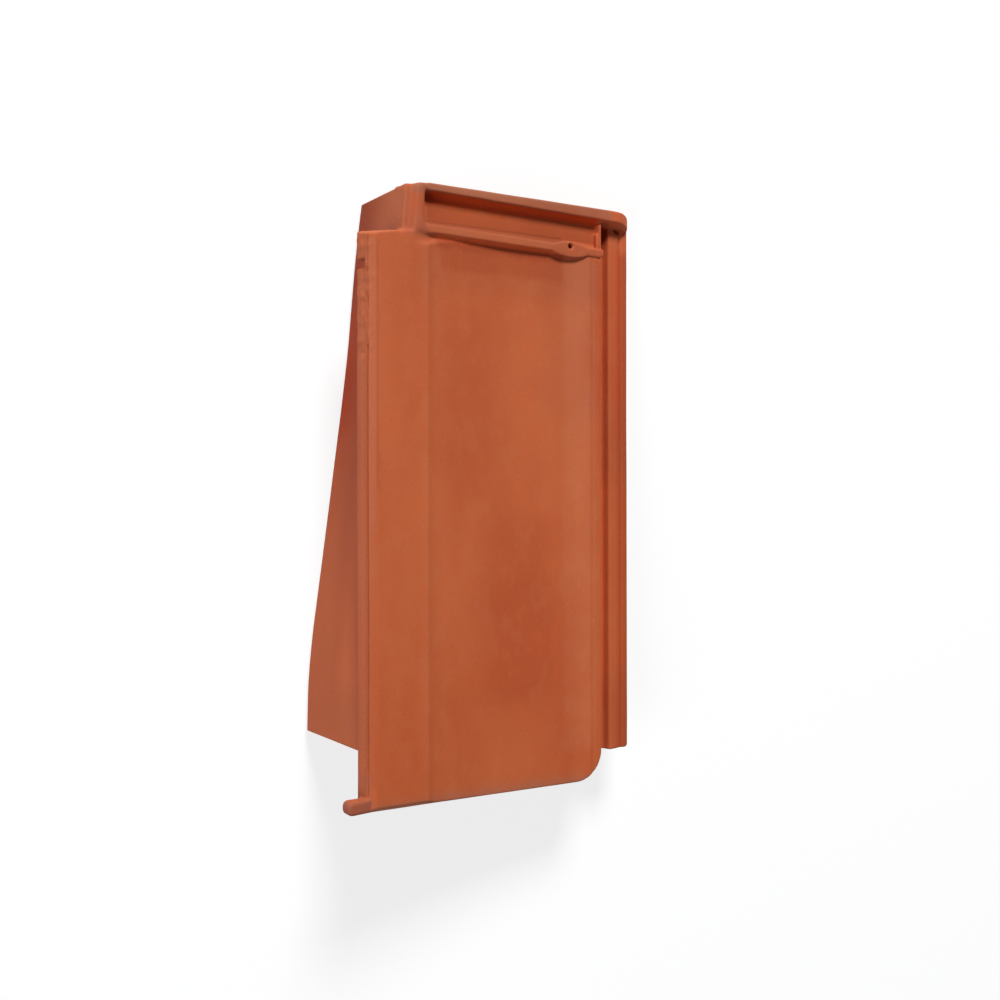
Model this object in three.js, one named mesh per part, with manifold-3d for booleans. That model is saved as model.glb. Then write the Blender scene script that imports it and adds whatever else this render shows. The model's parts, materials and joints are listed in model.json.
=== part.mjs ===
// Left-hand verge roof tile in fired clay, one pressed piece. Millimetres, +Z up in the exported frame.
// It is modelled in the tile's own frame (x across the roof slope, y towards the ridge, z out of the
// face) and then laid on the floor on its wing and its right-hand head corner.
import * as THREE from 'three';
import { mergeVertices } from 'three/addons/utils/BufferGeometryUtils.js';
import Module from 'manifold-3d';

// overall
const LENGTH = 450;             // tail lip to head rim
const FACE_WIDTH = 201.8;       // exposed face, cover edge to side groove
const SIDE_W = 34.3;            // side interlock
const WIDTH = FACE_WIDTH + SIDE_W;

// face plate
const CORNER_R = 26;            // tail corner of the face
const NOSE_R = 8;               // rolled tail edge
const TAIL_SKEW = 0.4;          // the tail edge runs out towards the side groove
const ARRIS_W = 5;              // cover edge arris
const ARRIS_H = 2.9;
const SEAM_W = 2.6;             // pressing seam down the cover edge
const SEAM_DEPTH = 1.2;
const COVER_EDGE_DEPTH = 18;    // side of the cover edge
const COVER_EDGE_DRAFT = 1.8;
const TROUGH_DEPTH = 5.5;       // dish of the face
const PLATE_T = 12.5;
const LIP_Z = 1.1;              // margin beside the side groove, below the cover edge
const EDGE_RAIL_W = 17;         // thick margin along the cover edge
const TAIL_RAIL_W = 15;         // thick margin along the tail
const COVER_END_Y = LENGTH - 42;        // head end of the cover edge
const COVER_END_SKEW = 6;
const COVER_END_LEAN = 4;
const NOTCH_Y = LENGTH - 62;
const NOTCH_R = 3;
const NOTCH_TOP = 7;            // below the face

// ear at the tail of the cover edge
const EAR_OUT = 15.8;
const EAR_Y = -0.4;
const EAR_W = 10;
const EAR_TOP = 2;
const EAR_T = 12;

// wing
const WING_TAIL_Y = 41;
const WING_HEAD_Y = LENGTH - 2.4;
const WING_T = 14;
const WING_DEPTH_TAIL = 116.5;
const WING_DEPTH_HEAD = 80;
const WING_INSET = 30;          // sweep of the wing under the cover edge
const WING_EDGE_R = 3.5;
const WING_FILLET_R = 12;

// head interlock
const RIM_T = 5.2;              // rim beside the wing
const RIM_END_T = 8.4;          // rim over the side interlock
const CHANNEL_Y = LENGTH - 30;  // tail wall of the head channel beside the wing
const CHANNEL_SKEW = 2.6;
const CHANNEL_DEPTH = 8;
const HEAD_SLAB_T = 20;
const HEAD_WALL_W = 14.5;
const HEAD_WALL_LEDGE_W = 8.5;
const HEAD_WALL_LEDGE_Z = 3;
const RIB_Y = CHANNEL_Y - 5.2;  // tail arris of the rib beside the wing
const RIB_SKEW = 3;
const RIB_SLOPE_W = 2.6;
const RIB_END_X = FACE_WIDTH + 1.8;
const HOLLOW_DEPTH = 4.2;       // dish under the start of the rib
const HOLLOW_X0 = WING_INSET + 4;
const HOLLOW_X1 = WING_INSET + 23;
const HOLLOW_X2 = WING_INSET + 46;
const BOSS_X = FACE_WIDTH - 29.8;
const BOSS_Y = CHANNEL_Y - 5.2;
const BOSS_RX = 18;
const BOSS_RY = 6;
const NAIL_HOLE_D = 4.4;
const NAIL_HOLE_Y = BOSS_Y + 2.5;
const SHORT_RIB_X = FACE_WIDTH - 1;
const SHORT_RIB_W = 3.6;
const SHORT_RIB_TOP = 3.5;
const SHORT_RIB_END_Y = LENGTH - 19;

// side interlock
const STRIP_TAIL_Y = 20.8;
const STRIP_HEAD_Y = LENGTH - 12;       // grooves stop here, short of the rim
const RIDGE_TOP = 10;
const GROOVE_DEPTH = 18;
const GROOVE_2_DEPTH = 13.2;
const RIDGE_1_X0 = FACE_WIDTH + 13.7;
const RIDGE_1_X1 = RIDGE_1_X0 + 8.2;
const RIDGE_2_X0 = WIDTH - 6.2;
const STRIP_BOTTOM = 26;
const STRIP_EDGE_R = 2.5;
const POCKET_L = 3.2;           // at the head end of the outer groove
const HEAD_CORNER_R = 17.5;

// hooking rib under the tail
const HOOK_Y = 63;
const HOOK_W = 9;
const HOOK_Z = 26;
const HOOK_X0 = 46;
const HOOK_X1 = FACE_WIDTH - 5.8;

// batten nibs
const NIB_W = 34;
const NIB_L = 16;
const NIB_H = 17;
const NIB_Y = LENGTH - 26;
const NIB_X = [88, FACE_WIDTH - 33.8];

const OVER = 60;                // reach of cutters past the part

const wasm = await Module();
wasm.setup();

function solid(geometry) {
  geometry.deleteAttribute('normal');
  geometry.deleteAttribute('uv');
  const welded = mergeVertices(geometry, 1e-4);
  return new wasm.Manifold(new wasm.Mesh({
    numProp: 3,
    vertProperties: new Float32Array(welded.attributes.position.array),
    triVerts: new Uint32Array(welded.index.array),
  }));
}

// closed outline from [x, y, radius] corners
function outline(corners) {
  const shape = new THREE.Shape();
  const n = corners.length;
  corners.forEach(([x, y, r = 0], i) => {
    const here = new THREE.Vector2(x, y);
    const [px, py] = corners[(i + n - 1) % n];
    const [qx, qy] = corners[(i + 1) % n];
    const back = new THREE.Vector2(px, py).sub(here);
    const ahead = new THREE.Vector2(qx, qy).sub(here);
    const backPart = corners[(i + n - 1) % n][2] ? 0.49 : 0.98;
    const aheadPart = corners[(i + 1) % n][2] ? 0.49 : 0.98;
    const trim = Math.min(r, back.length() * backPart, ahead.length() * aheadPart);
    const a = here.clone().add(back.setLength(trim));
    const b = here.clone().add(ahead.setLength(trim));
    if (i === 0) shape.moveTo(a.x, a.y);
    else shape.lineTo(a.x, a.y);
    if (trim > 0) shape.quadraticCurveTo(x, y, b.x, b.y);
  });
  shape.closePath();
  return shape;
}

// outline in x-z, run along y
function alongY(shape, y0, y1, segments = 6) {
  const g = new THREE.ExtrudeGeometry(shape, {
    depth: y1 - y0, bevelEnabled: false, curveSegments: segments });
  return solid(g.rotateX(Math.PI / 2).translate(0, y1, 0));
}

// outline in y-z, run along x
function alongX(shape, x0, x1, segments = 6) {
  const g = new THREE.ExtrudeGeometry(shape, {
    depth: x1 - x0, bevelEnabled: false, curveSegments: segments });
  const turn = new THREE.Matrix4().makeBasis(
    new THREE.Vector3(0, 1, 0), new THREE.Vector3(0, 0, 1), new THREE.Vector3(1, 0, 0));
  return solid(g.applyMatrix4(turn).translate(x0, 0, 0));
}

// convex body through outlines in y-z, given as [x, outline]
function spanX(sections, segments = 6) {
  return wasm.Manifold.hull(sections.map(([x, shape]) => alongX(shape, x, x + 0.01, segments)));
}

// outline in x-y, run along z, its rims rounded by bevel
function alongZ(shape, z0, z1, bevel = 0, segments = 6) {
  const g = new THREE.ExtrudeGeometry(shape, {
    depth: z1 - z0 - 2 * bevel, bevelEnabled: bevel > 0, bevelSize: bevel, bevelOffset: -bevel,
    bevelThickness: bevel, bevelSegments: 3, curveSegments: segments });
  return solid(g.translate(0, 0, z0 + bevel));
}

// skin over closed sections with equal point counts, given as [y, [[x, z], ...]]
function loft(sections) {
  const n = sections[0][1].length;
  const position = [];
  const index = [];
  for (const [y, ring] of sections) for (const [x, z] of ring) position.push(x, y, z);
  for (let s = 0; s + 1 < sections.length; s += 1) {
    for (let i = 0; i < n; i += 1) {
      const a = s * n + i;
      const b = s * n + ((i + 1) % n);
      index.push(a, a + n, b, b, a + n, b + n);
    }
  }
  const flat = sections[0][1].map(([x, z]) => new THREE.Vector2(x, z));
  const last = (sections.length - 1) * n;
  for (const [a, b, c] of THREE.ShapeUtils.triangulateShape(flat, [])) {
    index.push(a, b, c);
    index.push(last + a, last + c, last + b);
  }
  const g = new THREE.BufferGeometry();
  g.setAttribute('position', new THREE.Float32BufferAttribute(position, 3));
  g.setIndex(index);
  return solid(g);
}

// face profile across the tile, read from the cover edge to the side groove
const faceCurve = new THREE.SplineCurve([
  [0.23, 0], [0.27, 0.36], [0.38, 0.74], [0.57, 1], [0.74, 0.95], [0.86, 0.74], [0.9, 0.56],
  [0.945, 0.23],
].map(([x, z]) => new THREE.Vector2(x * FACE_WIDTH, -z * TROUGH_DEPTH)));
const facePoints = faceCurve.getPoints(56).map((p) => [p.x, p.y]);

// outer face of the wing: flush at the tail, swept in under the cover edge towards the head
const sweep = new THREE.SplineCurve([
  [0, 0], [0.09, 0], [0.18, 0.065], [0.25, 0.153], [0.33, 0.262], [0.42, 0.38], [0.52, 0.51],
  [0.63, 0.652], [0.73, 0.758], [0.83, 0.832], [0.92, 0.91], [1, 1],
].map(([t, u]) => new THREE.Vector2(t, u)));
const sweepPoints = sweep.getPoints(60);
function wingFace(y) {
  const t = THREE.MathUtils.clamp((y - WING_TAIL_Y) / (WING_HEAD_Y - WING_TAIL_Y), 0, 1);
  const i = Math.max(1, sweepPoints.findIndex((p) => p.x >= t - 1e-9));
  const [a, b] = [sweepPoints[i - 1], sweepPoints[i]];
  return WING_INSET * THREE.MathUtils.lerp(a.y, b.y, (t - a.x) / (b.x - a.x));
}

// floor the tile rests on: both ends of the wing edge and the head corner of the side interlock.
// The wing edge is trimmed to this plane.
const WING_FOOT_X = WING_T - WING_EDGE_R;
const wingTail = new THREE.Vector3(WING_FOOT_X, WING_TAIL_Y, -WING_DEPTH_TAIL);
const wingHead = new THREE.Vector3(WING_INSET + WING_FOOT_X, WING_HEAD_Y, -WING_DEPTH_HEAD);
const stripHead = new THREE.Vector3(
  WIDTH - STRIP_EDGE_R, LENGTH - 0.38 * HEAD_CORNER_R, -STRIP_BOTTOM);
const up = stripHead.clone().sub(wingTail).cross(wingHead.clone().sub(wingTail)).normalize();
function wingDepth(y) {
  const x = wingFace(y) + WING_FOOT_X;
  return -(up.dot(wingTail) - up.x * x - up.y * y) / up.z;
}

// plate with the side interlock
const sideTop = [
  [FACE_WIDTH - 8.2, -LIP_Z - 0.5, 1], [FACE_WIDTH - 6.5, -LIP_Z - 0.1, 1], [FACE_WIDTH, -LIP_Z, 1.5],
  [FACE_WIDTH + 2, -GROOVE_DEPTH, 3], [RIDGE_1_X0 - 2, -GROOVE_DEPTH, 3],
  [RIDGE_1_X0, -RIDGE_TOP, 1.5], [RIDGE_1_X0 + 3.5, -RIDGE_TOP, 1],
  [RIDGE_1_X0 + 5, -RIDGE_TOP - 0.5, 1], [RIDGE_1_X1, -RIDGE_TOP - 0.8, 1.2],
  [RIDGE_2_X0 - 1.2, -GROOVE_2_DEPTH, 0.8], [RIDGE_2_X0 + 0.4, -RIDGE_TOP - 1.8, 1],
  [WIDTH, -RIDGE_TOP - 2.4, 2],
  [WIDTH, -STRIP_BOTTOM, STRIP_EDGE_R],
];
const coverSide = [
  [-COVER_EDGE_DRAFT, -0.65 * COVER_EDGE_DEPTH, 3], [-0.2, -ARRIS_H - SEAM_W - 0.2, 0.6],
  [SEAM_DEPTH, -ARRIS_H - SEAM_W / 2, 0.5], [0, -ARRIS_H, 0.5],
  [0.08 * ARRIS_W, -0.72 * ARRIS_H, 0.6], [0.6 * ARRIS_W, -0.3 * ARRIS_H, 1.5], [ARRIS_W, 0, 0.8],
];
const plateProfile = outline([
  ...coverSide, ...facePoints, ...sideTop,
  [FACE_WIDTH + 2, -STRIP_BOTTOM, 3], [FACE_WIDTH - 6, -PLATE_T - 3, 4],
  [0.86 * FACE_WIDTH, -PLATE_T - 0.66 * TROUGH_DEPTH, 3],
  [0.57 * FACE_WIDTH, -PLATE_T - TROUGH_DEPTH, 20],
  [0.27 * FACE_WIDTH, -PLATE_T - 0.4 * TROUGH_DEPTH, 6],
  [EDGE_RAIL_W + 5, -PLATE_T, 3], [EDGE_RAIL_W, -COVER_EDGE_DEPTH, 3],
  [-COVER_EDGE_DRAFT, -COVER_EDGE_DEPTH, 1.2],
]);
const tailY = (x) => -0.1 - TAIL_SKEW * (x / FACE_WIDTH);
const cornerArc = [];
for (let k = 0; k <= 12; k += 1) {
  const a = (k / 12) * THREE.MathUtils.degToRad(78);
  cornerArc.push([
    FACE_WIDTH - CORNER_R * (1 - Math.sin(a)), tailY(FACE_WIDTH) + CORNER_R * (1 - Math.cos(a))]);
}
const platePlan = outline([
  [-10, tailY(-10), 0], ...cornerArc, [FACE_WIDTH, STRIP_TAIL_Y, 0], [WIDTH, STRIP_TAIL_Y, 4],
  [WIDTH, STRIP_HEAD_Y, 0],
  [FACE_WIDTH - 1, STRIP_HEAD_Y, 0], [FACE_WIDTH - 1, RIB_Y - RIB_SKEW - 2, 0],
  [WING_INSET + 6, COVER_END_Y + COVER_END_SKEW, 0], [-10, COVER_END_Y + COVER_END_SKEW, 0],
]);
const noseProfile = (y) => outline([
  [y, 1, NOSE_R * 1.25], [LENGTH + OVER, 1, 0], [LENGTH + OVER, -OVER, 0], [y, -OVER, 0],
]);
const nose = spanX([-10, WIDTH + 10].map((x) => [x, noseProfile(tailY(x))]), 8);
const endSlope = COVER_END_SKEW / WING_INSET;
const coverEnd = alongX(outline([
  [COVER_END_Y, 1, 0], [COVER_END_Y, -1, 2],
  [COVER_END_Y + COVER_END_LEAN, -COVER_EDGE_DEPTH, 0],
  [COVER_END_Y + OVER, -COVER_EDGE_DEPTH - 2, 0], [COVER_END_Y + OVER, 1, 0],
]), -5, WING_INSET).transform([1, endSlope, 0, 0, 0, 1, 0, 0, 0, 0, 1, 0, 0, 0, 0, 1]);
let tile = alongY(plateProfile, -5, STRIP_HEAD_Y)
  .intersect(alongZ(platePlan, -OVER, OVER, 0, 10))
  .intersect(nose)
  .subtract(coverEnd);

// thick margin under the tail
const tailRail = alongX(outline([
  [0.5, -6, 0], [TAIL_RAIL_W + 5, -6, 0], [TAIL_RAIL_W, -COVER_EDGE_DEPTH, 3],
  [0.5, -COVER_EDGE_DEPTH, 2],
]), 2, FACE_WIDTH - 3);
const tailPlan = outline([
  [1, -1, 0], ...cornerArc, [FACE_WIDTH, OVER, 0], [1, OVER, 0],
]);
tile = tile.add(tailRail.intersect(alongZ(tailPlan, -OVER, 0)));

// rib under the tail that drops into the head channel of the tile below
const hook = alongX(outline([
  [HOOK_Y - HOOK_W / 2 - 2, -PLATE_T, 0], [HOOK_Y - HOOK_W / 2, -HOOK_Z, 2.5],
  [HOOK_Y + HOOK_W / 2, -HOOK_Z, 2.5], [HOOK_Y + HOOK_W / 2 + 2, -PLATE_T, 0],
]), HOOK_X0, HOOK_X1);
tile = tile.add(hook);

// ear
tile = tile.add(alongZ(outline([
  [-EAR_OUT, EAR_Y, 4.5], [10, EAR_Y + 1.5, 0], [10, EAR_Y + EAR_W + 5, 0],
  [1, EAR_Y + EAR_W + 5, 0], [0, EAR_Y + EAR_W, 4], [-EAR_OUT, EAR_Y + EAR_W, 4.5],
]), -EAR_TOP - EAR_T, -EAR_TOP, 2));

// head slab with rim, channel and drain to the side groove
const headProfile = outline([
  [WING_INSET - 2, -HEAD_SLAB_T + 4, 0], [WING_INSET + HEAD_WALL_LEDGE_W, -HEAD_WALL_LEDGE_Z - 2, 0],
  [WING_INSET + HEAD_WALL_LEDGE_W + 1, -0.4, 0],
  [WIDTH - 15, -0.4, 5], [WIDTH - 4, -RIDGE_TOP + 3, 4],
  [WIDTH - 0.8, -RIDGE_TOP - 2, 2.5], [WIDTH, -RIDGE_TOP - 6, 2],
  [WIDTH, -STRIP_BOTTOM, STRIP_EDGE_R], [FACE_WIDTH + 2, -STRIP_BOTTOM, 3],
  [FACE_WIDTH - 4, -HEAD_SLAB_T, 3], [WING_INSET - 2, -HEAD_SLAB_T, 0],
]);
const slabX = SHORT_RIB_X + SHORT_RIB_W / 2;
const ribEndY = RIB_Y - RIB_SKEW;
const channelEndY = CHANNEL_Y - CHANNEL_SKEW;
const headPlan = outline([
  [WING_INSET + 2, RIB_Y - 14, 0], [FACE_WIDTH - 1, RIB_Y - 14, 0], [FACE_WIDTH - 1, ribEndY + 0.5, 0],
  [RIB_END_X, ribEndY + 0.5, 2], [RIB_END_X, channelEndY + 0.5, 1.5], [slabX, channelEndY + 0.5, 0],
  [slabX, STRIP_HEAD_Y, 0], [WIDTH, STRIP_HEAD_Y, 0], [WIDTH, LENGTH - 1, HEAD_CORNER_R],
  [WIDTH - 24, LENGTH, 0], [WING_INSET + 12, LENGTH, 8], [WING_INSET + 2, LENGTH - 2, 0],
]);
let head = alongY(headProfile, RIB_Y - 14, LENGTH).intersect(alongZ(headPlan, -OVER, OVER, 0, 10));

// outer wall of the head, following the wing, with a ledge along its outside
const wallStations = [];
for (let i = 0; i <= 10; i += 1) {
  wallStations.push(THREE.MathUtils.lerp(COVER_END_Y - 6, LENGTH - 1.4, i / 10));
}
head = head.add(loft(wallStations.map((y) => {
  const u = wingFace(y);
  const inner = u + HEAD_WALL_W;
  const step = u + HEAD_WALL_LEDGE_W;
  const z = -HEAD_WALL_LEDGE_Z;
  return [y, [
    [u, -HEAD_SLAB_T], [inner, -HEAD_SLAB_T], [inner, 0], [step + 0.3, 0], [step - 0.6, -0.5],
    [step - 2.2, z], [step - 3.1, z - 1.2], [u + 1.7, z - 1], [u + 0.9, z - 0.3], [u + 0.2, z - 0.8],
    [u, z - 2.2],
  ]];
})));

const wallX = WING_INSET + HEAD_WALL_W;
const drainX = RIDGE_1_X0 - 2;
const channelSection = (tail, rim) => outline([
  [tail - 0.3, 2, 0], [tail, 0, 0], [tail + 1.5, -CHANNEL_DEPTH, 4],
  [rim - 1.5, -CHANNEL_DEPTH, 3], [rim, 0, 0], [rim + 0.3, 2, 0],
]);
const channelEnds = outline([
  [wallX - 0.6, 2, 0], [wallX + 1.2, -CHANNEL_DEPTH, 2.5], [wallX + 1.2, -OVER, 0],
  [drainX, -OVER, 0], [drainX, 2, 0],
]);
const shortRib = alongZ(outline([
  [SHORT_RIB_X - SHORT_RIB_W / 2, channelEndY - 6, 0], [slabX, channelEndY - 6, 0],
  [slabX, SHORT_RIB_END_Y, 1.6], [SHORT_RIB_X - SHORT_RIB_W / 2, SHORT_RIB_END_Y, 1.6],
]), -CHANNEL_DEPTH - 4, -SHORT_RIB_TOP);
head = head.subtract(spanX([
  [wallX - 2, channelSection(CHANNEL_Y, LENGTH - RIM_T)],
  [drainX, channelSection(channelEndY, LENGTH - RIM_END_T)],
], 8)
  .intersect(alongY(channelEnds, CHANNEL_Y - OVER, LENGTH + OVER))
  .subtract(shortRib));

// rim sloping down to the ends of the ridges
head = head.subtract(alongX(outline([
  [STRIP_HEAD_Y - 4, 2, 0], [LENGTH - RIM_END_T + 0.5, 2, 0], [LENGTH - RIM_END_T, 0, 1],
  [STRIP_HEAD_Y, -RIDGE_TOP, 0], [STRIP_HEAD_Y - 4, -RIDGE_TOP, 0],
]), drainX - 0.5, WIDTH + 1));

// tail side of the rib, sloping down into the dished face
const ribSide = (y) => outline([
  [y - 20, 4, 0], [y + 1, 4, 0], [y, -0.2, 1], [y - RIB_SLOPE_W, -TROUGH_DEPTH - 0.6, 2],
  [y - 20, -TROUGH_DEPTH - 0.6, 0],
]);
head = head.subtract(spanX([[WING_INSET - 8, ribSide(RIB_Y)], [FACE_WIDTH + 0.5, ribSide(ribEndY)]]));
tile = tile.add(head);

// the dish deepens under the start of the rib
const hollow = (y, depth) => outline([
  [y - 10, 1, 0], [y - 10, 0.3, 0], [y - 5.5, -0.8 * depth, 2], [y - 3, -depth, 0.7],
  [y - 0.6, -0.1, 0], [y - 0.4, 1, 0],
]);
const ribY = (x) => RIB_Y - RIB_SKEW * (x - WING_INSET) / (FACE_WIDTH - WING_INSET);
tile = tile.subtract(spanX([
  [HOLLOW_X0, hollow(ribY(HOLLOW_X0), 0.05)], [HOLLOW_X1, hollow(ribY(HOLLOW_X1), 0.93 * HOLLOW_DEPTH)],
  [HOLLOW_X2, hollow(ribY(HOLLOW_X2), HOLLOW_DEPTH)],
]));

// pocket at the head end of the outer groove
tile = tile.subtract(alongZ(outline([
  [RIDGE_1_X0 + 5, STRIP_HEAD_Y - POCKET_L, 1.2], [RIDGE_2_X0 - 1, STRIP_HEAD_Y - POCKET_L, 1.2],
  [RIDGE_2_X0 - 1, STRIP_HEAD_Y + 0.4, 1.2], [RIDGE_1_X0 + 5, STRIP_HEAD_Y + 0.4, 1.2],
]), -GROOVE_2_DEPTH - 2, 0));

// nail-hole boss
const boss = new THREE.CylinderGeometry(BOSS_RX, BOSS_RX + 5, TROUGH_DEPTH + 1, 48)
  .rotateX(Math.PI / 2)
  .translate(0, 0, -TROUGH_DEPTH / 2 - 0.7)
  .scale(1, BOSS_RY / BOSS_RX, 1)
  .translate(BOSS_X, BOSS_Y, 0);
tile = tile.add(solid(boss));
const nailHole = new THREE.CylinderGeometry(NAIL_HOLE_D / 2, NAIL_HOLE_D / 2 - 0.2, 2 * HEAD_SLAB_T, 24)
  .rotateX(Math.PI / 2)
  .translate(BOSS_X, NAIL_HOLE_Y, -HEAD_SLAB_T + 4);
tile = tile.subtract(solid(nailHole));

// wing
const stations = [];
for (let i = 0; i <= 56; i += 1) stations.push(THREE.MathUtils.lerp(WING_TAIL_Y, WING_HEAD_Y, i / 56));
const wing = loft(stations.map((y) => {
  const u = wingFace(y);
  const d = wingDepth(y);
  const inner = u + WING_T;
  const under = -PLATE_T - 1;
  const ring = [[u, -PLATE_T + 1], [u, -d + WING_EDGE_R]];
  for (let k = 1; k <= 4; k += 1) {
    const a = (k / 4) * Math.PI / 2;
    ring.push([u + WING_EDGE_R * (1 - Math.cos(a)), -d + WING_EDGE_R * (1 - Math.sin(a))]);
  }
  for (let k = 0; k <= 4; k += 1) {
    const a = (k / 4) * Math.PI / 2;
    ring.push([inner - WING_EDGE_R * (1 - Math.sin(a)), -d + WING_EDGE_R * (1 - Math.cos(a))]);
  }
  for (let k = 0; k <= 6; k += 1) {
    const a = (k / 6) * Math.PI / 2;
    ring.push([inner + WING_FILLET_R * (1 - Math.cos(a)), under - WING_FILLET_R * (1 - Math.sin(a))]);
  }
  ring.push([inner + WING_FILLET_R, -PLATE_T + 1]);
  return [y, ring];
}));
tile = tile.add(wing);

// clip notch up from the lower edge of the cover edge
const notchEnd = (z) => solid(new THREE.CylinderGeometry(NOTCH_R, NOTCH_R, 14, 20)
  .rotateZ(Math.PI / 2).translate(0, NOTCH_Y, z));
tile = tile.subtract(wasm.Manifold.hull([
  notchEnd(-NOTCH_TOP - NOTCH_R), notchEnd(-COVER_EDGE_DEPTH - NOTCH_R),
]));

// batten nibs
for (const x of NIB_X) {
  const nib = alongX(outline([
    [NIB_Y, -14, 0], [NIB_Y + NIB_L + 6, -14, 0], [NIB_Y + NIB_L, -HEAD_SLAB_T - NIB_H, 3],
    [NIB_Y, -HEAD_SLAB_T - NIB_H, 3],
  ]), x - NIB_W / 2, x + NIB_W / 2);
  const sides = alongY(outline([
    [x - NIB_W / 2, -14, 0], [x - NIB_W / 2 + 3, -HEAD_SLAB_T - NIB_H, 3],
    [x + NIB_W / 2 - 3, -HEAD_SLAB_T - NIB_H, 3], [x + NIB_W / 2, -14, 0],
  ]), NIB_Y - 1, NIB_Y + NIB_L + OVER);
  tile = tile.add(nib.intersect(sides));
}

// lay the tile on its floor, with y along the tile
const ahead = new THREE.Vector3(0, 1, 0).addScaledVector(up, -up.y).normalize();
const across = ahead.clone().cross(up);
const lay = new THREE.Matrix4().makeBasis(across, ahead, up).transpose();

const mesh = tile.getMesh();
const geometry = new THREE.BufferGeometry();
geometry.setAttribute('position', new THREE.Float32BufferAttribute(mesh.vertProperties, 3));
geometry.setIndex(Array.from(mesh.triVerts));
geometry.applyMatrix4(lay);
geometry.computeBoundingBox();
const box = geometry.boundingBox;
geometry.translate(-(box.min.x + box.max.x) / 2, -(box.min.y + box.max.y) / 2, -box.min.z);
geometry.computeVertexNormals();

const clay = new THREE.MeshStandardMaterial({ name: 'fired_clay', color: 0xb86743, roughness: 0.9 });
const part = new THREE.Mesh(geometry, clay);
part.name = 'verge_tile';

const group = new THREE.Group();
group.name = 'clay_roof_tile';
group.add(part);
export default group;
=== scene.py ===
import json

import bpy
import numpy as np
from mathutils import Matrix, Vector


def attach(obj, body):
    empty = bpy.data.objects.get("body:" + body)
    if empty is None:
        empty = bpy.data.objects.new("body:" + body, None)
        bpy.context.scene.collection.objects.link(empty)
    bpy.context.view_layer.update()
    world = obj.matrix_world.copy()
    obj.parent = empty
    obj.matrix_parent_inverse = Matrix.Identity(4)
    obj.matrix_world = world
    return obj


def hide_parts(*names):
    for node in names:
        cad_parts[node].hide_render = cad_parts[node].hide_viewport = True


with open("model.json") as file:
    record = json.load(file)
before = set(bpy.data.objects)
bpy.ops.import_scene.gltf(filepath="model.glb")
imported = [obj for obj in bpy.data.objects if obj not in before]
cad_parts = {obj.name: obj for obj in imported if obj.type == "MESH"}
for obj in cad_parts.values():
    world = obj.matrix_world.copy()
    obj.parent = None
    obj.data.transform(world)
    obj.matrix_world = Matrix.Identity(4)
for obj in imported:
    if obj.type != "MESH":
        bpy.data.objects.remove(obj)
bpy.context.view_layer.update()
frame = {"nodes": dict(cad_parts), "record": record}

MM = 0.001

# The tile's own axes, from the mounts: x across from the wing, y up towards the head, z out of
# the face. Places along them are in mm from the tail end of the cover edge.
MOUNTS = {mount["name"]: mount for mount in frame["record"]["mounts"]}
ACROSS = np.array(MOUNTS["wing_inner_face"]["axis"])
OUT = np.array(MOUNTS["face"]["axis"])
HEADWARD = np.cross(OUT, ACROSS)
TILE_AXES = np.array([ACROSS, HEADWARD, OUT])
FACE_MOUNT = np.array(MOUNTS["face"]["pos_m"])
FACE_MOUNT_MM = np.array([25.0, 200.0, 0.0])     # the same place along the tile's axes

# clay mesh
VOXEL = 0.65 * MM
ARRIS_ROUNDS = 4              # smoothing of the whole skin, which rounds every arris
BEND_ROUNDS = 4               # smoothing of its measured bend
RELAX_STEP = 0.5              # part of the way to its neighbours' mean that a round takes a vertex
WAVES = [(70.0, 0.22), (24.0, 0.07), (8.0, 0.035)]     # length and height of each, in mm
LATTICE = 64                  # cells before the noise repeats
MESH_TRIANGLES = 190_000

# Where the clay was dragged soft, or torn, as the tile left its press: the reach along x, y and
# z in mm, and the fade around it.
DRAGGED = ((24, 45), (404, 455), (-14, 4), 4)
DRAGGED_ROUNDS = 30
TORN = ((-5, 3), (325, 415), (-17, -3.5), 6)
TORN_WAVE = (4.5, 0.45)       # length and height, in mm
TORN_SEED = 9

# Where the side of the cover edge was trimmed: below x and above z in mm, on faces turned against
# x, as strongly as their turn times the gain, less the start.
TRIMMED_BELOW_X = 4
TRIMMED_ABOVE_Z = -22
TRIMMED_GAIN = 1.6
TRIMMED_START = 0.4

# a darker stain in the lower part of the dish: middle and half size in mm
STAIN_X = (132.0, 62.0)
STAIN_Y = (125.0, 120.0)
STAIN_STRENGTH = 1.5
STAIN_LUMPS = (28, 0.35)      # length in mm and strength
STAIN_SEED = 7

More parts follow.
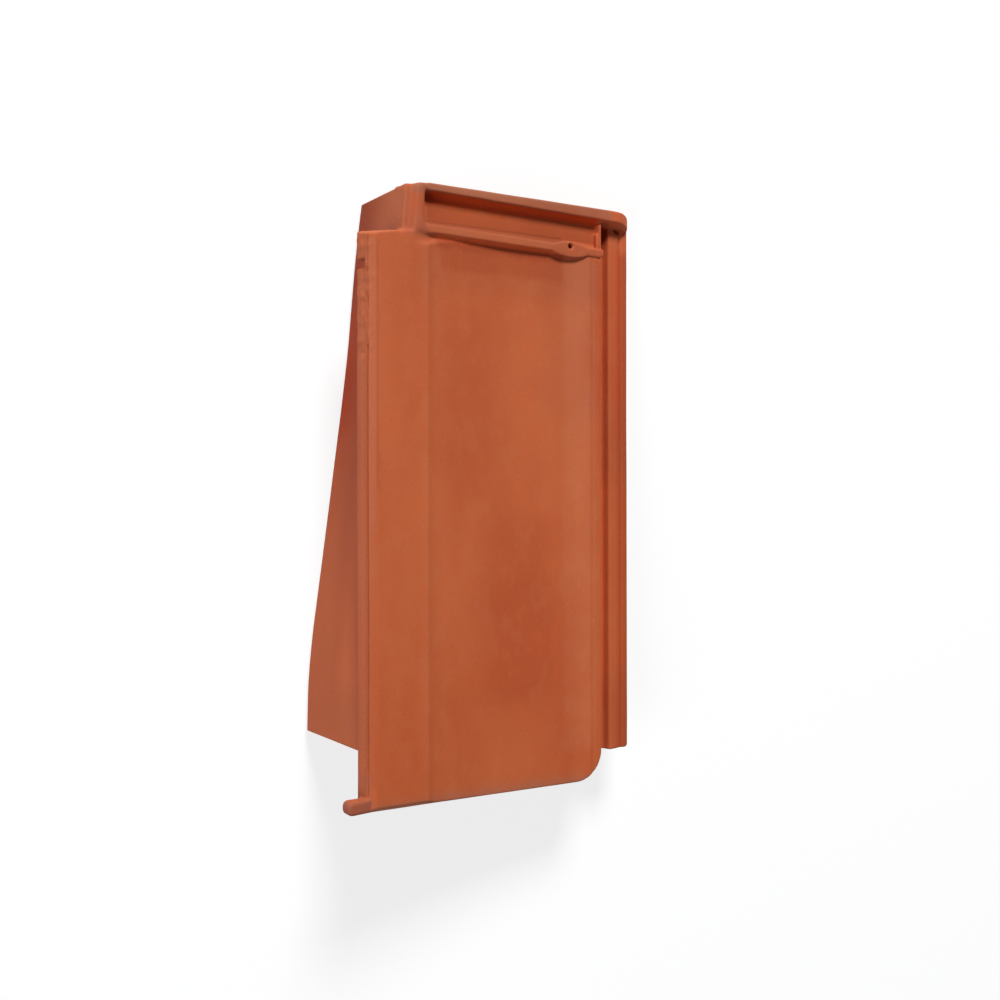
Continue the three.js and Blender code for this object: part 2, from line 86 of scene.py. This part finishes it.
# Zones whose colour is multiplied: most are painted shade or painted light, marked so below, and
# the rest a change of tone. For each, the reach along x, y and z in mm, how far it fades out around
# it, and the factors on red, green and blue.
FAR = (-500, 900)
TONES_AND_PAINTED_LIGHT = [
    ((173, 190), (30, 403), FAR, 9, (1.02, 1.14, 1.33)),                # rise of the dish: painted sheen
    ((165, 195), (300, 403), FAR, 30, (0.93, 0.93, 0.98)),              # rise, towards the head: less of the painted sheen
    ((45, 60), (30, 395), FAR, 9, (1.04, 1.08, 1.14)),                  # fall of the dish: painted light
    ((45, 200), (385, 412), FAR, 22, (0.90, 0.92, 0.97)),               # head end of the dish: painted shade below the rib
    (FAR, (0, 70), (-40, 20), 60, (1.0, 0.98, 0.94)),                   # tail end
    (FAR, (300, 460), (-130, -92), 78, (0.90, 0.46, 0.20)),             # wing, head end: painted shade
    (FAR, (385, 460), (-130, -80), 65, (0.66, 0.66, 0.55)),             # wing, last corner: painted shade
    (FAR, (95, 225), (-44, -22), 24, (1.12, 1.09, 1.07)),               # wing, below the cover edge: painted light in the overhang's shadow
    (FAR, (60, 240), (-130, -66), 26, (0.95, 0.88, 0.80)),              # wing, lower part: painted shade, less blue than the floor's reflection leaves it
    ((-5, 3), (20, 400), (-16, -6), 2, (1.00, 1.02, 1.10)),             # side of the cover edge
    ((-3, 3), (30, 330), (-5.2, -3.4), 0.6, (0.88, 0.72, 0.60)),        # pressing seam: painted shade in its groove
    ((-3, 0.6), (20, 405), (-7.2, -5.4), 0.6, (0.87, 0.88, 0.92)),      # lip under the seam: painted shade
    ((0.5, 4.5), (20, 405), (-3, 0.3), 1, (0.92, 0.92, 0.96)),          # arris, darker: less of its painted highlight
    ((0.5, 4.5), (165, 405), (-3, 0.3), 1, (1.01, 1.05, 1.12)),         # arris, upper part: painted highlight
    ((0.5, 4.5), (205, 405), (-3, 0.3), 1, (1.01, 1.05, 1.12)),         # arris, head half: painted highlight
    ((5.5, 6.3), (230, 405), (-1, 1), 1.2, (0.87, 0.87, 0.92)),         # line beside the arris: painted shade in a hairline crease
    ((5, 205), (-4, 3), (-12, 1), 3, (0.87, 1.06, 1.40)),               # tail edge, greyer and bluer
    ((0, 205), (-4, 7), (-12, 1), 5, (0.94, 1.03, 1.20)),               # face beside the tail edge
    ((5, 46), (-4, 4.2), (-12, -0.2), 1.5, (1.20, 1.35, 1.40)),         # tail lip
    ((-3, 6), (384.5, 391.5), (-19, -7.5), 1, (0.72, 0.5, 0.35)),       # clip notch: painted shade
    ((30, 210), (443, 455), (-2.5, 5), 2, (0.75, 1.06, 1.6)),           # top of the head rim
    ((50, 200), (438.5, 444), (-9, -2), 2.5, (1.10, 0.53, 0.20)),       # foot of the head rim: painted shadow
    ((50, 200), (424, 436), (-9, -7), 2, (0.80, 0.71, 0.63)),           # channel floor: painted shade
    ((48, 168), (418.5, 424), (-7.5, -1.2), 1.2, (0.66, 0.62, 0.58)),   # channel side of the rib: painted shade
    ((30, 170), (410, 424), (-1, 2), 1, (0.97, 1.05, 1.18)),            # top of the head rib
    ((55, 165), (410.4, 413.4), (-6, -1), 1, (1.45, 1.15, 0.9)),        # tail side of the head rib: painted light in its shadow
    ((55, 165), (405.5, 409.8), (-12, -1.8), 1.5, (0.86, 0.75, 0.67)),  # foot of the head rib: painted shadow
    ((60, 165), (392, 409), (-12, 5), 5, (0.90, 0.79, 0.71)),           # face below the head rib: painted shade
    ((213.5, 240), (310, 460), (-20, -4), 30, (1.06, 0.97, 0.97)),      # side interlock, head end
    ((-18, 0.5), (-8, 8.5), (-14, 2), 2, (0.66, 0.76, 1.12)),           # lug at the tail corner
    ((-4, 1.5), (0, 24), (-16, -4), 3.5, (0.86, 0.94, 1.10)),           # cover edge beside the lug
    ((228.5, 240), (20, 420), (-20, 2), 2, (0.77, 0.68, 0.62)),         # outer ridge: painted shade
    ((223, 228.5), (20, 420), (-20, 2), 1.5, (1.0, 0.84, 0.75)),        # outer groove
    ((201, 213), (20, 420), (-22, -7), 1.5, (1.25, 1.1, 0.85)),         # inner groove: painted light in its shade
    ((-5, 30), (412, 460), (-90, -4), 4, (0.95, 1.08, 1.28)),           # side of the head end: painted light, against the wing's painted shade
    ((30, 45), (414, 440), (-4, 3), 5, (0.88, 0.89, 1.0)),              # ledge over that side: painted shade
]

# clay colours
CLAY_DEEP = (0.445, 0.088, 0.026, 1)
CLAY_WARM = (0.505, 0.113, 0.034, 1)
CLAY_PALE = (0.520, 0.137, 0.051, 1)
CLAY_STAIN = (0.390, 0.066, 0.018, 1)
# paler colour for worn arrises, with a painted highlight there, and for the trimmed edge
CLAY_DUSTY_AND_HIGHLIGHT = (0.550, 0.170, 0.082, 1)
# dark colour for painted shade in hollows and for pits in the grain
CLAY_SHADE_AND_PITS = (0.360, 0.045, 0.008, 1)
CLAY_GROG = (0.640, 0.300, 0.170, 1)
CLAY_IRON = (0.120, 0.030, 0.015, 1)
CLAY_ROUGHNESS = (0.68, 0.80)
CLAY_SPECULAR = 0.25

# Patterns in the clay: size of the lumps in mm, detail, roughness, and how many times longer they
# are along the tile.
DRIFT = (75, 2.0, 0.5, 2.6)
MOTTLE = (13, 3.0, 0.55, 1.7)
GRAIN = (1.6, 3.0, 0.6, 1)
FINE = (0.5, 2.0, 0.5, 1)
EVEN_SPAN = (0.3, 0.7)        # values of a pattern over which one tone gives way to the other

# specks in the clay: spacing and radius in mm, and the part of them that is kept
GROG = (3.4, 0.42, 0.35)
IRON = (5.3, 0.55, 0.3)
PORES = (1.9, 0.3, 0.4)
SPECK_CORE = 0.6              # part of a speck's radius that is solid

# How much of each colour shows, and over which values of the mottle, or bends of the skin in mm,
# it sets in.
STAIN_SPAN, STAIN_SHARES = (0.25, 0.6), (0.35, 1.0)
PALE_SPAN, PALE_SHARE = (0.35, 0.75), 0.35
# paler colour on arrises: wear, and a painted highlight
ARRIS_WEAR_AND_HIGHLIGHT_BEND, ARRIS_WEAR_AND_HIGHLIGHT_SHARE = (0.01, 0.09), 0.25
# darker colour in hollows: painted shade
PAINTED_SHADE_BEND, PAINTED_SHADE_SHARE = (-0.08, -0.01), 0.5
TRIMMED_SHARES = (0.1, 0.3)
PIT_SHARE = 0.1
GROG_SHARE = 0.3
IRON_SHARE = 0.4

# relief: height in m and strength
FINE_RELIEF = (0.05 * MM, 0.6)
GRAIN_RELIEF = (0.14 * MM, 0.8)
TRIMMED_ROUGHER = 0.12        # roughness that the trimmed side has over the rest

# The lamps' names, azimuths and elevations in degrees, distances in m, spreads in degrees,
# irradiances in W/m2, and tints.
LAMPS = [
    ("key", 99, 38.5, 6.0, 14, 3.85, (1.0, 1.0, 1.0)),
    ("fill", 205, 21, 5.0, 30, 1.25, (0.97, 1.0, 1.1)),
]
WORLD_LIGHT = 0.05            # strength of the light from all around
FLOOR_HALF = 3.0              # half its side, in m
FLOOR_PAINT = 0.8             # its paleness where it lights the tile from below
FLOOR_WHITE = 1.03            # its strength of white where it is seen
FLOOR_SHADE = 0.26            # how strongly it shows the tile's shadow there

# the camera that took the photograph: places in m, roll in degrees, lens and sensor in mm
CAMERA_PLACE = Vector((-0.24391, 0.05156, 0.94808))
CAMERA_AIM = Vector((0.00485, -0.00323, 0.08))
CAMERA_ROLL = 0.950
CAMERA_LENS = 43.91
CAMERA_SENSOR = 36.0


def tile_mm(points):
    """Points of the row frame, in metres, as millimetres along the tile's own axes."""
    return (points - FACE_MOUNT) @ TILE_AXES.T / MM + FACE_MOUNT_MM


def vectors(items, name):
    """A property of three numbers, of each of the items, as the rows of an array."""
    values = np.zeros(len(items) * 3, np.float32)
    items.foreach_get(name, values)
    return values.reshape(-1, 3).astype(float)


def ease(share):
    """A share from 0 to 1 that starts and stops softly."""
    return share * share * (3 - 2 * share)


def lattice_noise(places, seed):
    """Smooth value noise from -1 to 1 over a unit lattice."""
    grid = np.random.default_rng(seed).uniform(-1, 1, (LATTICE, LATTICE, LATTICE))
    cell = np.floor(places).astype(int)
    part = ease(places - cell)
    total = np.zeros(len(places))
    for corner in np.ndindex(2, 2, 2):
        share = np.prod(np.where(corner, part, 1 - part), axis=1)
        at = (cell + corner) % LATTICE
        total += share * grid[at[:, 0], at[:, 1], at[:, 2]]
    return total


def zone(places, reach):
    """1 at the places, in mm, within a reach along x, y and z, easing to 0 at its fade outside."""
    *spans, fade = reach
    share = 1.0
    for values, (low, high) in zip(places.T, spans):
        outside = np.maximum(low - values, values - high)
        share = share * ease(np.clip(1 - outside / fade, 0, 1))
    return share


def bump_of(values, centre, half):
    """1 at centre, easing to 0 at half away from it."""
    return ease(np.clip(1 - np.abs(values - centre) / half, 0, 1))


def summed(edges, values):
    """Sum of values over each vertex's neighbours."""
    first, second = edges.T
    size = len(values)
    return np.bincount(first, values[second], size) + np.bincount(second, values[first], size)


class Skin:
    """A closed mesh as arrays, with the averages over neighbours that smoothing needs."""

    def __init__(self, mesh):
        self.mesh = mesh
        self.points = vectors(mesh.vertices, "co")
        edges = np.zeros(len(mesh.edges) * 2, np.int32)
        mesh.edges.foreach_get("vertices", edges)
        self.edges = edges.reshape(-1, 2)
        self.count = np.bincount(edges, minlength=len(self.points))

    def around(self, values):
        """Mean of values over each vertex's neighbours."""
        if values.ndim > 1:
            return np.stack([self.around(column) for column in values.T], axis=1)
        return summed(self.edges, values) / self.count

    def relax(self, rounds):
        """Takes every vertex towards its neighbours."""
        for _ in range(rounds):
            self.points += RELAX_STEP * (self.around(self.points) - self.points)

    def soften(self, rounds, weight):
        """Relaxes by a weight, and works on the part where it is above 0 only."""
        edges = self.edges[(weight[self.edges] > 0).any(axis=1)]
        used, edges = np.unique(edges, return_inverse=True)
        count = np.bincount(edges.ravel())
        edges = edges.reshape(-1, 2)
        points = self.points[used]
        step = RELAX_STEP * weight[used]
        for _ in range(rounds):
            for values in points.T:
                values += step * (summed(edges, values) / count - values)
        self.points[used] = points

    def normals(self):
        """Puts the points back in the mesh, and gives its normals there."""
        self.mesh.vertices.foreach_set("co", self.points.astype(np.float32).ravel())
        self.mesh.update()
        return vectors(self.mesh.vertex_normals, "vector")


def applied(body):
    """The body's new mesh, once its modifiers are worked into it."""
    now = bpy.context.evaluated_depsgraph_get()
    mesh = bpy.data.meshes.new_from_object(body.evaluated_get(now), depsgraph=now)
    body.modifiers.clear()
    body.data = mesh
    return mesh


def placed(name, data):
    """A new object of the scene that holds data."""
    holder = bpy.data.objects.new(name, data)
    bpy.context.scene.collection.objects.link(holder)
    return holder


def fired_body(cad):
    """The tile as fired: one fine skin over the CAD solid, with soft arrises and the slight waves
    of pressed clay."""
    body = placed("fired_tile", cad.data.copy())
    body.data.materials.clear()
    body.data.transform(Matrix(TILE_AXES).to_4x4())      # so that the voxels lie along the tile
    remesh = body.modifiers.new("remesh", "REMESH")
    remesh.mode = "VOXEL"
    remesh.voxel_size = VOXEL
    applied(body).transform(Matrix(TILE_AXES.T).to_4x4())

    skin = Skin(body.data)
    skin.relax(ARRIS_ROUNDS)
    skin.soften(DRAGGED_ROUNDS, zone(tile_mm(skin.points), DRAGGED))
    normal = skin.normals()
    places = tile_mm(skin.points)
    for seed, (length, height) in enumerate(WAVES):
        skin.points += normal * (lattice_noise(places / length, seed) * height * MM)[:, None]
    length, height = TORN_WAVE
    torn = lattice_noise(places / length, TORN_SEED) * zone(places, TORN) * height * MM
    skin.points += normal * torn[:, None]
    skin.normals()

    thin = body.modifiers.new("thin", "DECIMATE")
    thin.ratio = MESH_TRIANGLES / sum(len(face.vertices) - 2 for face in body.data.polygons)
    mesh = applied(body)
    mesh.polygons.foreach_set("use_smooth", np.ones(len(mesh.polygons), bool))
    store(mesh)
    return body


def keep(mesh, name, values):
    """Keeps a number or three of each vertex for the material to read."""
    kind, slot = ("FLOAT", "value") if values.ndim == 1 else ("FLOAT_VECTOR", "vector")
    kept = mesh.attributes.new(name, kind, "POINT")
    kept.data.foreach_set(slot, values.astype(np.float32).ravel())


def store(mesh):
    """Keeps, for the material, each vertex's place along the tile's axes and what has happened to
    the
    clay there: how far it stands on an arris or in a hollow, where the edge was trimmed, where
    the fire has stained it, and the colour factors of its zones, mostly painted shade and light."""
    skin = Skin(mesh)
    places = tile_mm(skin.points)
    x, y, z = places.T
    normal = skin.normals()
    bend = ((skin.points - skin.around(skin.points)) * normal).sum(axis=1) / MM
    for _ in range(BEND_ROUNDS):
        bend = 0.5 * (bend + skin.around(bend))

    trimmed = np.clip(-(normal @ ACROSS) * TRIMMED_GAIN - TRIMMED_START, 0, 1)
    trimmed = trimmed * (x < TRIMMED_BELOW_X) * (z > TRIMMED_ABOVE_Z)

    length, strength = STAIN_LUMPS
    lumps = lattice_noise(places / length, STAIN_SEED)
    across = bump_of(x, *STAIN_X)
    stain = np.clip(across * bump_of(y, *STAIN_Y) * STAIN_STRENGTH + strength * lumps, 0, 1)
    stain *= across > 0

    # each zone's factors: painted shade and painted light for the most part, and tone
    tone_and_painted_light = np.ones((len(x), 3))
    for *reach, factors in TONES_AND_PAINTED_LIGHT:
        tone_and_painted_light *= 1 + zone(places, reach)[:, None] * (np.array(factors) - 1)

    keep(mesh, "bend", bend)
    keep(mesh, "trimmed", trimmed)
    keep(mesh, "stain", stain)
    keep(mesh, "tone_and_painted_light", tone_and_painted_light)
    keep(mesh, "tile_mm", places)


def add(tree, kind, inputs=None, **settings):
    """A new node; an input that is a socket is linked, and any other is set."""
    made = tree.nodes.new(kind)
    for name, value in settings.items():
        setattr(made, name, value)
    for name, value in (inputs or {}).items():
        if isinstance(value, bpy.types.NodeSocket):
            tree.links.new(value, made.inputs[name])
        else:
            made.inputs[name].default_value = value
    return made


def new_material(name):
    material = bpy.data.materials.new(name)
    material.use_nodes = True
    material.node_tree.nodes.clear()
    return material, material.node_tree


def stored(tree, name, output="Fac"):
    """What store kept on the mesh under name."""
    return add(tree, "ShaderNodeAttribute", attribute_name=name).outputs[output]


def scaled(tree, place, factors):
    """A place with each of its three numbers multiplied by a factor."""
    node = add(tree, "ShaderNodeVectorMath", {0: place, 1: factors}, operation="MULTIPLY")
    return node.outputs[0]


def noise(tree, place, size, detail, rough, along):
    """Noise about 0.5 whose lumps are size mm across, drawn out along the tile."""
    return add(tree, "ShaderNodeTexNoise", {
        "Vector": scaled(tree, place, [1 / size, 1 / (size * along), 1 / size]),
        "Scale": 1.0, "Detail": detail, "Roughness": rough,
    }).outputs["Fac"]


def ramp(tree, value, span, shares=(0.0, 1.0)):
    """value eased from the first of the shares to the second, over a span."""
    (low, high), (to_low, to_high) = span, shares
    return add(tree, "ShaderNodeMapRange", {
        "Value": value, "From Min": low, "From Max": high, "To Min": to_low, "To Max": to_high,
    }, interpolation_type="SMOOTHSTEP").outputs[0]


def maths(tree, operation, *values):
    return add(tree, "ShaderNodeMath", dict(enumerate(values)), operation=operation).outputs[0]


def blend(tree, share, first, second, kind="MIX"):
    """Colour first taken towards second by share. A Mix node's colours are its inputs 6 and 7."""
    return add(tree, "ShaderNodeMix", {0: share, 6: first, 7: second},
               data_type="RGBA", blend_type=kind).outputs[2]


def specks(tree, place, spacing, radius, part):
    """1 inside round specks of about radius mm, one to each spacing of mm, of which only a part is
    kept."""
    cells = add(tree, "ShaderNodeTexVoronoi", {
        "Vector": scaled(tree, place, [1 / spacing] * 3), "Scale": 1.0,
    }).outputs
    chance = add(tree, "ShaderNodeSeparateColor", {0: cells["Color"]}).outputs[0]
    kept = maths(tree, "LESS_THAN", chance, part)
    edge = radius / spacing
    inside = ramp(tree, cells["Distance"], (SPECK_CORE * edge, edge), (1.0, 0.0))
    return maths(tree, "MULTIPLY", inside, kept)


def clay_colour(tree, place, mottle, grain, bare):
    """The clay's base colour: a drifting, mottled red with its stain, worn arrises with a painted
    highlight, painted shade in hollows, trimmed edge, pits and specks, times the colour factors
    of its zone, which are mostly painted shade and painted light."""
    bend = stored(tree, "bend")
    drift = noise(tree, place, *DRIFT)
    colour = blend(tree, ramp(tree, drift, EVEN_SPAN), CLAY_DEEP, CLAY_WARM)
    stain = maths(tree, "MULTIPLY", stored(tree, "stain"),
                  ramp(tree, mottle, STAIN_SPAN, STAIN_SHARES))
    trimmed = maths(tree, "MULTIPLY", bare, ramp(tree, grain, EVEN_SPAN, TRIMMED_SHARES))
    for share, towards in (
        (stain, CLAY_STAIN),
        (ramp(tree, mottle, PALE_SPAN, (0.0, PALE_SHARE)), CLAY_PALE),
        # paler arrises: wear, and a painted highlight
        (ramp(tree, bend, ARRIS_WEAR_AND_HIGHLIGHT_BEND, (0.0, ARRIS_WEAR_AND_HIGHLIGHT_SHARE)), CLAY_DUSTY_AND_HIGHLIGHT),
        # painted shade in hollows; the same dark colour darkens pits in the grain below
        (ramp(tree, bend, PAINTED_SHADE_BEND, (PAINTED_SHADE_SHARE, 0.0)), CLAY_SHADE_AND_PITS),
        (trimmed, CLAY_DUSTY_AND_HIGHLIGHT),
        (ramp(tree, grain, EVEN_SPAN, (PIT_SHARE, 0.0)), CLAY_SHADE_AND_PITS),
        (maths(tree, "MULTIPLY", specks(tree, place, *GROG), GROG_SHARE), CLAY_GROG),
        (maths(tree, "MULTIPLY", specks(tree, place, *IRON), IRON_SHARE), CLAY_IRON),
    ):
        colour = blend(tree, share, colour, towards)
    # times the zones' factors, mostly painted shade and painted light
    return blend(tree, 1.0, colour, stored(tree, "tone_and_painted_light", "Color"), "MULTIPLY")


def relief(tree, height, distance, strength, **over):
    """The normal of a surface that is raised by height, over another normal where one is given."""
    inputs = {"Height": height, "Distance": distance, "Strength": strength, **over}
    return add(tree, "ShaderNodeBump", inputs).outputs[0]


def clay_relief(tree, place, grain):
    """The normal of a skin with a fine tooth, grains and open pores."""
    tooth = relief(tree, noise(tree, place, *FINE), *FINE_RELIEF)
    pitted = maths(tree, "SUBTRACT", grain, specks(tree, place, *PORES))
    return relief(tree, pitted, *GRAIN_RELIEF, Normal=tooth)


def fired_clay():
    """Natural-red fired clay, matt and a little duller where the edge was trimmed."""
    material, tree = new_material("fired_clay")
    place = stored(tree, "tile_mm", "Vector")
    bare = stored(tree, "trimmed")
    mottle = noise(tree, place, *MOTTLE)
    grain = noise(tree, place, *GRAIN)
    dull = maths(tree, "ADD", ramp(tree, mottle, EVEN_SPAN, CLAY_ROUGHNESS),
                 maths(tree, "MULTIPLY", bare, TRIMMED_ROUGHER))
    shader = add(tree, "ShaderNodeBsdfPrincipled", {
        "Base Color": clay_colour(tree, place, mottle, grain, bare),
        "Roughness": dull,
        "Normal": clay_relief(tree, place, grain),
        "Specular IOR Level": CLAY_SPECULAR,
    })
    add(tree, "ShaderNodeOutputMaterial", {"Surface": shader.outputs[0]})
    return material


def seen_directly(tree):
    """1 for the rays that show a thing, straight or in gloss or glass, and 0 for those that only
    carry its light."""
    path = add(tree, "ShaderNodeLightPath").outputs
    return maths(tree, "MAXIMUM", path["Is Camera Ray"],
                 maths(tree, "MAXIMUM", path["Is Glossy Ray"], path["Is Transmission Ray"]))


def studio():
    """A floor that is white where it is seen and pale where it lights the tile."""
    mesh = bpy.data.meshes.new("floor")
    corners = [(-1, -1), (1, -1), (1, 1), (-1, 1)]
    mesh.from_pydata([(x * FLOOR_HALF, y * FLOOR_HALF, 0) for x, y in corners], [], [(0, 1, 2, 3)])
    floor = placed("floor", mesh)
    material, tree = new_material("pale_floor")
    plain = add(tree, "ShaderNodeBsdfDiffuse", {"Color": (FLOOR_PAINT,) * 3 + (1,)})
    white = add(tree, "ShaderNodeEmission", {"Color": (1, 1, 1, 1), "Strength": FLOOR_WHITE})
    shadowed = add(tree, "ShaderNodeBsdfDiffuse", {"Color": (1, 1, 1, 1)})
    shown = add(tree, "ShaderNodeMixShader", {
        0: FLOOR_SHADE, 1: white.outputs[0], 2: shadowed.outputs[0],
    })
    surface = add(tree, "ShaderNodeMixShader", {
        0: seen_directly(tree), 1: plain.outputs[0], 2: shown.outputs[0],
    })
    add(tree, "ShaderNodeOutputMaterial", {"Surface": surface.outputs[0]})
    mesh.materials.append(material)


def lamp(name, azimuth, elevation, distance, spread, irradiance, tint):
    """A square soft box aimed at the tile's middle. Its azimuth turns from across towards the
    head, and its elevation is above the face. It looks spread degrees wide, and lights a surface
    square to it with irradiance W/m2."""
    turn, lift = np.radians((azimuth, elevation))
    towards = np.array([np.cos(turn) * np.cos(lift), np.sin(turn) * np.cos(lift), np.sin(lift)])
    direction = Vector(towards @ TILE_AXES).normalized()
    light = bpy.data.lights.new(name, "AREA")
    light.size = 2 * distance * np.tan(np.radians(spread) / 2)
    light.energy = irradiance * np.pi * distance ** 2
    light.color = tint
    holder = placed(name, light)
    holder.location = CAMERA_AIM + direction * distance
    holder.rotation_mode = "QUATERNION"
    holder.rotation_quaternion = (-direction).to_track_quat("-Z", "Y")


def sky():
    """A world that is white where it is seen and adds only a little light."""
    world = bpy.data.worlds.new("studio")
    world.use_nodes = True
    tree = world.node_tree
    background = tree.nodes["Background"]
    background.inputs["Color"].default_value = (1, 1, 1, 1)
    strength = maths(tree, "MAXIMUM", seen_directly(tree), WORLD_LIGHT)
    tree.links.new(strength, background.inputs["Strength"])
    bpy.context.scene.world = world


def camera():
    """The photograph's camera, whose picture has the tile's head up."""
    data = bpy.data.cameras.new("camera")
    data.lens = CAMERA_LENS
    data.sensor_width = CAMERA_SENSOR
    ahead = (CAMERA_AIM - CAMERA_PLACE).normalized()
    right = ahead.cross(Vector((0, 1, 0))).normalized()
    up = right.cross(ahead)
    level = Matrix((right, up, -ahead)).transposed()
    turned = level @ Matrix.Rotation(np.radians(CAMERA_ROLL), 3, "Z")
    holder = placed("camera", data)
    holder.matrix_world = Matrix.Translation(CAMERA_PLACE) @ turned.to_4x4()
    bpy.context.scene.camera = holder


tile = fired_body(frame["nodes"]["verge_tile"])
tile.data.materials.append(fired_clay())
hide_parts("verge_tile")
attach(tile, "root")
studio()
for row in LAMPS:
    lamp(*row)
sky()
camera()
bpy.context.scene.view_settings.view_transform = "Standard"
